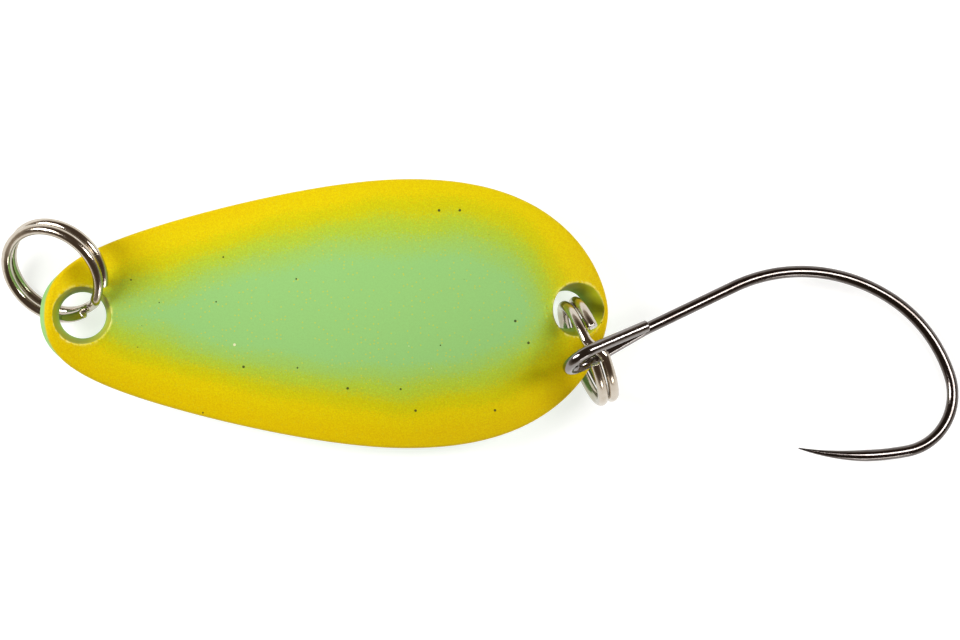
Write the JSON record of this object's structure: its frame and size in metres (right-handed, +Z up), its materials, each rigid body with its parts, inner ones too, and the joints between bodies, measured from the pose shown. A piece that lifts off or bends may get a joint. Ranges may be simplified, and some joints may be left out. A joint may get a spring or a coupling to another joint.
{
  "type": "spoon lure",
  "caption": "Small trout spoon: a crowned, painted teardrop blade with a split ring at each end and a single barbless hook on the rear ring.",
  "frame": {"origin": "on the table under the middle of the whole lure's bounding box", "axes": "+X from the blade's nose to the hook, +Y across the blade, +Z up out of the blade's crown"},
  "size_m": [0.0454, 0.0136, 0.0064],
  "materials": {
    "painted_blade": "matte sprayed yellow edge fading to mint green",
    "ring_nickel": "bright nickel-plated steel wire",
    "hook_black_nickel": "glossy black-nickel-plated steel wire"
  },
  "bodies": {
    "blade": {"spoon_blade": "painted_blade"},
    "front_ring": {"front_split_ring": "ring_nickel"},
    "rear_ring": {"rear_split_ring": "ring_nickel"},
    "hook": {"hook": "hook_black_nickel"}
  },
  "joints": [
    {"name": "front_ring_swing", "type": "hinge", "parent": "blade", "child": "front_ring", "pos_m": [-0.01964, 0.00183, 0.0019], "axis": [0, -1, 0], "range_deg": [0, 75]},
    {"name": "rear_ring_swing", "type": "hinge", "parent": "blade", "child": "rear_ring", "pos_m": [0.005, -0.00137, 0.00229], "axis": [-0.9202, -0.3588, 0.1564], "range_deg": [-40, 30]},
    {"name": "hook_swing", "type": "hinge", "parent": "rear_ring", "child": "hook", "pos_m": [0.00553, -0.0015, 0.00512], "axis": [-0.3516, 0.9334, 0.0723], "range_deg": [-90, 40]}
  ]
}
